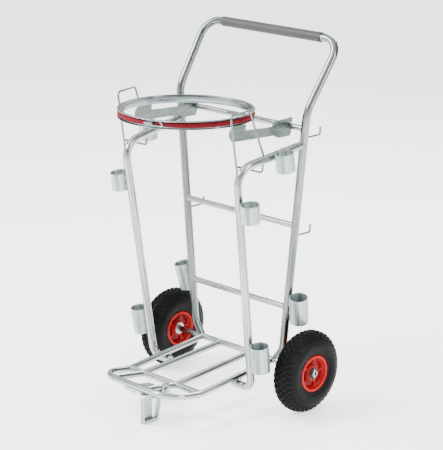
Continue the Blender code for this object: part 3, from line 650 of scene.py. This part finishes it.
def platform():
    radius = PLATFORM_TUBE / 2
    half = [at(RAIL_X, 0.0, AXLE.z), KINK, NOSE]
    bar("platform_tube", ZINC_TUBE, "platform_loop", across_both_sides(half, [0.060, 0.070]),
        radius - 0.0001, 32)
    height = platform_height(CROSS_Y)
    cross = [at(-RAIL_X, CROSS_Y, height), at(RAIL_X, CROSS_Y, height)]
    bar("cross_tube", ZINC_TUBE, "platform_cross_bar", cross, radius, 28)
    for side, end, other in ((-1, cross[0], cross[1]), (1, cross[1], cross[0])):
        saddle_bead(end, other, radius, mirror(at(RAIL_X, 0, AXLE.z), side), mirror(KINK, side),
                    PLATFORM_TUBE, PLATFORM_WELD)
    axle = (at(-0.2, 0, AXLE.z), at(0.2, 0, AXLE.z))
    nose = (mirror(NOSE, -1), NOSE)
    for label, axle_x, bar_x in INNER_BARS:
        start, centre = at(axle_x, 0, AXLE.z), at(bar_x, CROSS_Y, height)
        front = at(bar_x, NOSE_Y, NOSE_Z)
        bar(f"inner_tube_{label}", ZINC_TUBE, f"platform_bar_{label}", [start, centre], radius, 28)
        bar(f"nose_tube_{label}", ZINC_TUBE, f"nose_bar_{label}", [centre, front], radius, 28)
        for end, towards, line in ((start, centre, axle), (centre, start, cross),
                                   (centre, front, cross), (front, centre, nose)):
            saddle_bead(end, towards, radius, *line, PLATFORM_TUBE, PLATFORM_WELD)
    low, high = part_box("axle_tube")
    bar("axle_bar", ZINC_TUBE, "axle_tube",
        [Vector((low.x, AXLE.y, AXLE.z)), Vector((high.x, AXLE.y, AXLE.z))],
        (high.z - low.z) / 2, 36, bore=AXLE_BORE_R)


def grip():
    """A sleeve with round edges and faint ripples along it."""
    half = GRIP_HIGH.x
    radius = (GRIP_HIGH.z - GRIP_LOW.z) / 2
    centre = (GRIP_LOW + GRIP_HIGH) / 2
    inner = FRAME_TUBE / 2 + 0.0001
    edge = 0.0022
    ripple = 0.00012
    quarter = np.linspace(0, math.pi / 2, 6)
    profile = [(-half, inner)]
    profile += [(-half + edge * (1 - math.cos(t)), radius - edge * (1 - math.sin(t)))
                for t in quarter]
    profile += [(x, radius - ripple * (1 + math.cos(x * 900)))
                for x in np.linspace(-half + 0.02, half - 0.02, 90)]
    profile += [(half - edge * (1 - math.cos(t)), radius - edge * (1 - math.sin(t)))
                for t in quarter[::-1]]
    profile += [(half, inner)]
    revolve(Shell(), profile, centre, (1, 0, 0), 44).build(
        "grip_sleeve", GRIP, "frame", "grip_plastic", ["handle_grip"], sharp=50)


# ---------------------------------------------------------------- wheels
# Right half of the tyre's outline: distance from its mid plane, radius.
TYRE_OUTLINE = [(0.0000, 0.1300), (0.0060, 0.12975), (0.0120, 0.1288), (0.0170, 0.1262),
                (0.0215, 0.1222), (0.0262, 0.1176), (0.0300, 0.1128), (0.0336, 0.1074),
                (0.0365, 0.1012), (0.0385, 0.0955), (0.0400, 0.0900), (0.0405, 0.0845),
                (0.0404, 0.0800), (0.0400, 0.0760), (0.0390, 0.0715), (0.0374, 0.0690),
                (0.0368, 0.0655), (0.0362, 0.0625), (0.0350, 0.0600), (0.0300, 0.0583)]
OUTLINE_R, OUTLINE_HALF = 0.130, 0.0405
TREAD_HALF = 0.0345
TREAD_DEPTH = 0.0050
# Rows of blocks: inner edge and outer edge as a share of TREAD_HALF, and shift in pitches.
BLOCK_ROWS = ((0.00, 0.12, 0.0), (0.21, 0.38, 0.5), (0.47, 0.66, 0.0), (0.75, 1.00, 0.5))
BLOCKS_ROUND = 40


def smooth(value, low, high):
    t = min(1.0, max(0.0, (value - low) / (high - low)))
    return t * t * (3 - 2 * t)


def groove_share(u, turn):
    """How deep the tread is cut, 0 on a block to 1 in a groove; u is -1 to 1 across it."""
    pitch = 2 * math.pi / BLOCKS_ROUND
    position = abs(u)
    for low, high, shift in BLOCK_ROWS:
        if position <= high + 0.035:
            skew = 0.16 * u if high < 1.0 else 0.0
            phase = (turn / pitch + shift + skew + (0.25 if u < 0 else 0.0)) % 1.0
            groove = 0.34 if high < 1.0 else 0.46
            along = smooth(abs(phase - 0.5), 0.5 - groove / 2 - 0.06, 0.5 - groove / 2 + 0.03)
            across = max(smooth(position, high - 0.012, high + 0.03) if high < 1.0 else 0.0,
                         1 - smooth(position, low - 0.03, low + 0.012) if low else 0.0)
            return max(along, across)
    return 0.0


def tyre(hub, label):
    """Block-tread tyre with round shoulders, a plain sidewall and thin moulded rings."""
    half = []
    for (a, b), (c, d) in zip(TYRE_OUTLINE, TYRE_OUTLINE[1:]):
        steps = 6 if a < 0.0300 else 2
        half += [(a + (c - a) * k / steps, b + (d - b) * k / steps) for k in range(steps)]
    half.append(TYRE_OUTLINE[-1])
    profile = [(-a, b) for a, b in reversed(half[1:])] + half
    segments = 480
    rows = []
    for along, radius in profile:
        u = along / TREAD_HALF
        sideways = smooth(abs(u), 0.5, 1.2) * 0.75
        row = []
        for j in range(segments):
            turn = 2 * math.pi * j / segments
            drop = 0.0
            if abs(u) <= 1.0:
                drop = TREAD_DEPTH * groove_share(u, turn)
                drop *= 1 - 0.2 * smooth(abs(u), 0.85, 1.0)
            r = (radius - drop * (1 - sideways * 0.5)) * TYRE_R / OUTLINE_R
            x = (along - math.copysign(drop * sideways, along)) * TYRE_HALF / OUTLINE_HALF
            row.append(hub + Vector((x, -r * math.sin(turn), r * math.cos(turn))))
        rows.append(row)
    shell = Shell()
    shell.grid(rows, [0.8 * j / segments for j in range(segments + 1)], travelled(profile))
    shell.build(f"tyre_tread_{label}", RUBBER, f"{label}_wheel", "tyre_rubber", [f"tyre_{label}"],
                sharp=60)
    moulding = Shell()
    for face in (-1, 1):
        for radius, x in ((0.0885, 0.0398), (0.0700, 0.0381)):
            sweep(moulding, [hub + Vector((face * x, -radius * math.sin(t), radius * math.cos(t)))
                             for t in circle(96)], 0.0006, 8, True)
    moulding.build(f"tyre_lines_{label}", RUBBER, f"{label}_wheel", "tyre_rubber")


# Half lengths along the axle of the rim's hub barrel, its bore and the dished web.
BARREL_HALF, BORE_HALF, WEB_HALF = 0.0300, 0.006, 0.0262
WEB_DISH = 0.0065
POCKETS = 5
POCKET_DEPTH = 0.0060


def web_face(radius, turn):
    """How far the rim's web stands from the wheel's mid plane."""
    web = WEB_HALF + WEB_DISH * smooth(radius, 0.040, RIM_R - 0.008) ** 2
    x = BARREL_HALF + (web - BARREL_HALF) * smooth(radius, 0.0240, 0.0262)
    phase = (turn * POCKETS / (2 * math.pi) + 0.2) % 1.0
    wide = smooth(min(phase, 1 - phase), 0.07, 0.13)
    deep = smooth(radius, 0.0285, 0.0305) * (1 - smooth(radius, 0.0410, 0.0430))
    return x - POCKET_DEPTH * wide * deep


def rim(hub, label):
    """Moulded rim: raised lip, dished web with pockets between ribs, and a hub barrel."""
    lip = RIM_R
    lip_shell = Shell()
    outline = [(0.0255, lip - 0.0002), (0.0330, lip), (0.0358, lip - 0.0002), (0.0370, lip - 0.0014),
               (RIM_HALF, lip - 0.0032), (RIM_HALF, lip - 0.0060), (0.0370, lip - 0.0080),
               (0.0350, lip - 0.0092), (0.0290, lip - 0.0098), (0.0250, lip - 0.0060)]
    for face in (-1, 1):
        revolve(lip_shell, [(face * a, b) for a, b in outline], hub, (1, 0, 0), 96)
    # The raised lip takes the lighter red, a painted highlight.
    lip_shell.build(f"rim_lip_{label}", RED_LIP_PAINTED_LIGHT, f"{label}_wheel", "red_plastic")

    shell = Shell()
    segments = 180
    turns = [2 * math.pi * j / segments for j in range(segments)]
    radii = np.concatenate([np.linspace(0.0180, 0.0242, 6), np.linspace(0.0250, lip - 0.0090, 30)])
    around = [0.3 * j / segments for j in range(segments + 1)]
    for face in (-1, 1):
        rows = [[hub + Vector((face * web_face(radius, turn), -radius * math.sin(turn),
                               radius * math.cos(turn))) for turn in turns] for radius in radii]
        bore = [hub + Vector((face * BORE_HALF, (p - hub).y, (p - hub).z)) for p in rows[0]]
        shell.grid([bore] + rows, around, [0.001 * i for i in range(len(rows) + 2)])
    shell.build(f"rim_web_{label}", RED, f"{label}_wheel", "red_plastic", [f"rim_{label}"], sharp=50)


# ---------------------------------------------------------------- sack ring and band
def ring():
    top, bottom = RING_HIGH.z, RING_LOW.z
    outer = RING_R
    web = outer - 0.0080
    wall = 0.0020
    corners = [(bottom, web - wall), (top, web - wall), (top, outer), (top - wall, outer),
               (top - wall, web), (bottom + wall, web), (bottom + wall, outer), (bottom, outer)]
    profile = [(a - RING.z, b) for a, b in rounded(corners, 0.0009)]
    revolve(Shell(), profile, RING, (0, 0, 1), 160).build(
        "ring_channel", ZINC_RING, "frame", "zinc_plate", ["sack_ring"], sharp=55)


def on_ring(distance, turn, height):
    """A point at a distance from the sack ring's axis."""
    return Vector((RING.x + distance * math.cos(turn), RING.y + distance * math.sin(turn), height))


def ring_row(section, turn):
    """A (distance, height) outline stood up at a turn round the sack ring."""
    return [on_ring(distance, turn, height) for distance, height in section]


def band():
    """The elastic in the groove, slightly drawn in where the wire hook pulls its ends together."""
    outer = (BAND_HIGH.x - BAND_LOW.x) / 2 - 0.0001
    inner = outer - 0.0050
    segments = 240
    start, end = math.radians(-79.5), math.radians(-62.9)
    span = 2 * math.pi - (end - start)
    drawn_in = 9
    rows = []
    for i in range(segments + 1):
        pull = max(1 - i / drawn_in, 1 - (segments - i) / drawn_in, 0.0)
        half = (BAND_HIGH.z - BAND_LOW.z) / 2 * (1 - 0.30 * pull)
        section = rounded([(inner, BAND_MID - half), (outer - 0.0008, BAND_MID - half),
                           (outer, BAND_MID - half * 0.55), (outer - 0.0002, BAND_MID + half * 0.15),
                           (outer - 0.0034, BAND_MID + half * 0.86), (inner, BAND_MID + half)],
                          0.0016)
        rows.append(ring_row(section, end + span * i / segments))
    first = rows[0]
    around = [0.0]
    for point, following in zip(first, first[1:] + first[:1]):
        around.append(around[-1] + (following - point).length)
    along = [outer * span * i / segments for i in range(segments + 2)]
    shell = Shell()
    shell.grid(rows, around, along)
    shell.places = [tuple((v, u) for u, v in face) for face in shell.places]
    shell.close_ends(rows)
    shell.build("elastic_webbing", ELASTIC, "frame", "elastic_red", ["elastic_band"])


def ring_block(turns, halves, inner, outer, bend, step):
    """A short block with round corners, bent along the sack ring at the band's height."""
    rows = []
    for turn, half in zip(turns, halves):
        low, high = BAND_MID - half, BAND_MID + half
        rows.append(ring_row(rounded([(inner, low), (outer, low), (outer, high), (inner, high)], bend),
                             turn))
    shell = Shell()
    shell.grid(rows, [0.001 * j for j in range(len(rows[0]) + 1)],
               [step * i for i in range(len(rows) + 1)])
    shell.close_ends(rows)
    return shell


def clasp():
    """Crimped sleeve, twisted wire and open hook between the ends of the elastic."""
    radius = RING_R + 0.0002
    count = 15
    last = count - 1
    turns = [math.radians(-80.0 + 8.2 * i / last) for i in range(count)]
    halves = [0.0036 - (0.0006 if i in (0, last) else 0.0) for i in range(count)]
    ring_block(turns, halves, radius - 0.0062, radius + 0.0011, 0.0013, 0.001).build(
        "band_clasp", ZINC_WIRE, "frame", "zinc_fastener", ["band_hook"])
    turns = [math.radians(-73.5 + 11.0 * i / last) for i in range(count)]
    ring_block(turns, [0.0050] * count, radius - 0.0070, radius - 0.0040, 0.0010, 0.003).build(
        "elastic_tail", ELASTIC, "frame", "elastic_red")

    twist = Shell()
    for start in (0.0, math.pi):
        path = []
        for t in np.arange(40) / 39:
            phase = start + t * 5.5 * math.pi
            path.append(on_ring(radius - 0.0010 + 0.0009 * math.cos(phase),
                                math.radians(-72.2 + 6.6 * t),
                                BAND_MID - 0.0008 + 0.0011 * math.sin(phase)))
        sweep(twist, path, 0.0008, 10)
    twist.build("clasp_twist", ZINC_DARK_AND_SHADE, "frame", "zinc_fastener")

    path = []
    for t in np.linspace(-0.55, 1.05, 26):
        swing = math.pi * t * 0.62 - 0.55
        path.append(on_ring(radius + 0.0001, math.radians(-65.2 + 2.0 * math.cos(swing)),
                            BAND_MID - 0.0052 * math.sin(swing)))
    sweep(Shell(), path, 0.0012, 12, rounding=0.0003).build(
        "clasp_hook", ZINC_BRIGHT, "frame", "zinc_fastener")


# ---------------------------------------------------------------- wire guides, cups and hooks
# Corners of a guide: (behind the axle, height) and how far it is to the right of the arm's line.
# Both guides lean the same way, as in the photo; they are not mirror images.
GUIDE_RUN = (((-0.2625, 0.7550), 0.0110), ((-0.2915, 0.9633), 0.0055), ((-0.2050, 0.9665), -0.0080),
             ((-0.1420, 0.8240), -0.0160), ((-0.1440, 0.7700), -0.0160),
             ((-0.2440, 0.8035), -0.0170), ((-0.2653, 0.8099), 0.0077))
GUIDE_BENDS = (0.012, 0.012, 0.020, 0.008, 0.010)
WIRE_STEP = math.radians(8)


def guides():
    for side, label in SIDES:
        points = [at(side * arm_x(y) + lean, y, z) for (y, z), lean in GUIDE_RUN]
        bar(f"guide_wire_{label}", ZINC_WIRE, f"side_guide_{label}",
            filleted(points, GUIDE_BENDS, WIRE_STEP), GUIDE_WIRE / 2, 16, rounding=0.0008)
        run = (points[1] - points[0]).normalized()
        bead([points[0] + run * d + Vector((-0.0030, 0, 0)) for d in np.linspace(0.004, 0.034, 14)],
             0.0020, seed=side * 3.1)
        bead([points[-1] + Vector((0.0006 * k, 0.0004 * k, 0)) for k in range(4)], 0.0026, seed=side)


CUP_R = 0.0290
CUP_BORE_R = CUP_R - 0.0020
CUP_FLOOR = 0.0025


def cup(name, foot, top, floor, contact):
    """A short pipe with rolled edges where the CAD cup stands, with four beads.

    Contact is the point on the tube that it is welded to.
    """
    axis = (top - foot).normalized()
    high = (top - foot).length
    outer, inner = CUP_R, CUP_BORE_R
    rise = [high * k / 12 for k in range(1, 12)]
    if floor:
        outside = [(0.0, 0.0005), (0.0, outer - 0.0010), (0.0003, outer - 0.0003), (0.0010, outer)]
        inside = [(CUP_FLOOR + 0.0004, inner), (CUP_FLOOR, inner - 0.0004), (CUP_FLOOR, 0.0005)]
    else:
        outside = [(0.0, inner + 0.0004), (0.0, outer - 0.0004), (0.0004, outer)]
        inside = [(0.0004, inner)]
    edge = [(high - 0.0006, outer), (high - 0.0001, outer - 0.0002), (high, outer - 0.0006),
            (high, inner + 0.0006), (high - 0.0001, inner + 0.0002), (high - 0.0006, inner)]
    outline = outside + [(a, outer) for a in rise] + edge
    outline += [(a, inner) for a in rise[::-1][:-1]] + inside
    revolve(Shell(), outline, foot, axis, 72).build(
        name + "_pipe", ZINC_CUP, "frame", "zinc_plate", [name], sharp=50)
    towards = contact - foot
    towards = (towards - axis * towards.dot(axis)).normalized()
    for share in ((0.12, 0.42), (0.60, 0.90)):
        for face in (-1, 1):
            swung = Matrix.Rotation(face * 0.20, 3, axis) @ towards
            span = [high * s for s in np.linspace(*share, 9)]
            bead([foot + axis * a + swung * (outer + 0.0006) for a in span], 0.0019, seed=face)


def cups():
    """Two cups on each leg, one on each upright and one on each arm.

    A cup on a leg sits beside it, turned a little round it by so many radians.
    """
    stand_off = CUP_R + FRAME_TUBE / 2 + 0.0003
    square = Vector((0, -0.0425, 0.2500)).normalized()
    for (side, label), lower_turn, upper_turn in zip(SIDES, (0.105, 0.0), (0.105, -0.105)):
        for place, low, high, turn in (("lower_front", 0.1600, 0.2425, lower_turn),
                                       ("upper_front", 0.6430, 0.6980, upper_turn)):
            offset = Vector((side * math.cos(turn), math.sin(turn), 0.0)) * stand_off
            foot = leg_point(low, side)
            cup(f"cup_{place}_{label}", foot + offset, leg_point(high, side) + offset,
                place == "lower_front", foot)
        foot_z = 0.2720
        cup(f"cup_lower_rear_{label}", beside((0.2468, 0.0224, foot_z), side),
            beside((0.2590, 0.0038, 0.3570), side), True,
            beside((upright_x(foot_z), FRAME_Y, foot_z), side))
        arm_y, foot_z = -0.1070, 0.7810
        foot = at(side * (arm_x(arm_y) + stand_off + 0.0003), arm_y, foot_z)
        cup(f"cup_upper_rear_{label}", foot, foot + square * 0.057, False,
            at(side * arm_x(arm_y), arm_y, foot_z))


def hooks():
    radius = HOOK_WIRE / 2
    for level in ("upper", "lower"):
        for _, label in SIDES:
            name = f"tool_hook_{level}_{label}"
            low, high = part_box(name)
            x, z = (low.x + high.x) / 2, low.z + radius
            points = [Vector((x, low.y - 0.002, z)), Vector((x, high.y - radius, z)),
                      Vector((x, high.y - radius, high.z))]
            bar(name + "_wire", ZINC_WIRE, name, filleted(points, [0.008], WIRE_STEP), radius, 16,
                rounding=0.0007)
            bead([Vector((x + 0.0040 * math.cos(t), low.y + 0.0012, z + 0.0040 * math.sin(t)))
                  for t in circle(16)], 0.0015, True)


# ---------------------------------------------------------------- carried-over pieces
def dress(names, finish, width):
    """Gives CAD pieces a finish and rounds their edges by the width."""
    for name in names:
        node = NODES[name]
        node.data.materials.clear()
        node.data.materials.append(finish)
        modifier = node.modifiers.new("edge_round", "BEVEL")
        modifier.width = width
        modifier.segments = 3
        modifier.limit_method = "ANGLE"
        modifier.angle_limit = math.radians(28)
        for polygon in node.data.polygons:
            polygon.use_smooth = True
        node.data.set_sharp_from_angle(angle=math.radians(28))


def carried_over():
    """CAD pieces that are shown as they are, with a finish."""
    dress(["ring_plate_right", "ring_plate_left"], ZINC_PLATE, 0.0006)
    dress(["support_foot"], ZINC_FOOT, 0.0006)
    dress(["foot_bracket"], ZINC_BRACKET, 0.0006)
    dress(["foot_pivot_bolt", "foot_pivot_nut", "bracket_bolt", "bracket_nut", "bracket_screw"],
          ZINC_SMALL, 0.0004)
    for _, label in SIDES:
        dress([f"axle_pin_{label}_outer", f"axle_pin_{label}_inner"], ZINC_SMALL, 0.0003)
        # The outer washers take the very dark zinc as painted shade in the hub.
        dress([f"axle_washer_{label}_outer"], ZINC_DARK_AND_SHADE, 0.0004)
        dress([f"axle_washer_{label}_inner"], ZINC_SMALL, 0.0004)
        dress([f"hub_sleeve_{label}"], ZINC_SMALL, 0.0003)


# ---------------------------------------------------------------- studio
def paper_floor():
    """A big sheet of paper just under the wheels; it glows a little to stay pale."""
    size = 40.0
    mesh = bpy.data.meshes.new("studio_floor")
    mesh.from_pydata([(-size, -size, 0), (size, -size, 0), (size, size, 0), (-size, size, 0)], [],
                     [(0, 1, 2, 3)])
    made = bpy.data.objects.new("studio_floor", mesh)
    bpy.context.scene.collection.objects.link(made)
    paper = Finish("studio_paper", 0.0, 0.9,
                   Emission_Color=(*WHITE, 1.0), Emission_Strength=1.3)
    grain = paper.noise(paper.coordinates("Object"), 3.0)
    paper.colour(paper.ramp(grain, [(0.3, (0.90, 0.90, 0.90)), (0.7, (0.915, 0.915, 0.915))]))
    mesh.materials.append(paper.material)
    made.location.z = -0.0005


def surroundings():
    """A studio that is darker at mid height, and brighter in front of the trolley and left of it."""
    world = bpy.data.worlds.new("studio")
    bpy.context.scene.world = world
    world.use_nodes = True
    tree = world.node_tree
    background = tree.nodes["Background"]
    background.inputs["Strength"].default_value = 3.0
    place = add_node(tree, "ShaderNodeTexCoord")
    split = add_node(tree, "ShaderNodeSeparateXYZ")
    ramp = add_node(tree, "ShaderNodeValToRGB")
    facing = add_node(tree, "ShaderNodeVectorMath", operation="DOT_PRODUCT")
    facing.inputs[1].default_value = (-0.45, -0.89, 0.0)
    level = add_node(tree, "ShaderNodeMapRange", From_Min=-1.0, To_Min=0.22, To_Max=1.25)
    blend = add_node(tree, "ShaderNodeVectorMath", operation="SCALE")
    for output, socket in ((place.outputs["Generated"], split.inputs[0]),
                           (split.outputs["Z"], ramp.inputs["Fac"]),
                           (place.outputs["Generated"], facing.inputs[0]),
                           (facing.outputs["Value"], level.inputs["Value"]),
                           (ramp.outputs["Color"], blend.inputs[0]),
                           (level.outputs["Result"], blend.inputs["Scale"]),
                           (blend.outputs["Vector"], background.inputs["Color"])):
        tree.links.new(output, socket)
    elements = ramp.color_ramp.elements
    elements[0].position, elements[0].color = 0.0, (0.80, 0.80, 0.80, 1)
    elements[1].position, elements[1].color = 1.0, (*WHITE, 1)
    for position, grey in ((0.16, 0.62), (0.34, 0.30), (0.52, 0.42), (0.70, 0.95)):
        elements.new(position).color = (grey, grey, grey * 1.01, 1)


def lamp(name, location, target, size, power):
    data = bpy.data.lights.new(name, "AREA")
    data.shape = "RECTANGLE"
    data.size, data.size_y = size
    data.energy = power
    made = bpy.data.objects.new(name, data)
    bpy.context.scene.collection.objects.link(made)
    made.location = location
    made.rotation_mode = "QUATERNION"
    made.rotation_quaternion = (Vector(target) - Vector(location)).to_track_quat("-Z", "Y")


def lamps():
    lamp("key_light", (-1.9, -2.3, 3.4), (0, 0, 0.4), (1.6, 1.6), 330)
    lamp("side_light", (3.4, 0.6, 2.2), (0, 0, 0.5), (0.7, 2.4), 100)
    lamp("back_light", (-1.2, 3.2, 3.0), (0, 0, 0.5), (2.0, 1.2), 150)


def camera():
    """The viewing angle of the reference: right front corner, a little above."""
    azimuth, elevation, roll = math.radians(45.2), math.radians(15.2), math.radians(0.6)
    distance = 5.6204
    focal_pixels, picture_pixels, sensor = 1807.6, 450, 36.0
    back = Vector((math.sin(azimuth) * math.cos(elevation), -math.cos(azimuth) * math.cos(elevation),
                   math.sin(elevation)))
    level = Vector((math.cos(azimuth), math.sin(azimuth), 0))
    up = back.cross(level)
    right = math.cos(roll) * level + math.sin(roll) * up
    top = -math.sin(roll) * level + math.cos(roll) * up
    data = bpy.data.cameras.new("view")
    made = bpy.data.objects.new("view", data)
    bpy.context.scene.collection.objects.link(made)
    matrix = Matrix((right, top, back)).transposed().to_4x4()
    matrix.translation = at(0.0, -0.0757, 0.550) + back * distance
    made.matrix_world = matrix
    data.sensor_width = sensor
    data.lens = focal_pixels / picture_pixels * sensor
    data.clip_end = 200.0
    bpy.context.scene.camera = made


tubes()
platform()
grip()
for _, wheel_label in SIDES:
    wheel_hub = middle(f"tyre_{wheel_label}")
    tyre(wheel_hub, wheel_label)
    rim(wheel_hub, wheel_label)
ring()
band()
clasp()
guides()
cups()
hooks()
carried_over()
WELDS.build("weld_beads", WELD, "frame", "zinc_plate")
paper_floor()
surroundings()
lamps()
camera()

bpy.context.view_layer.update()
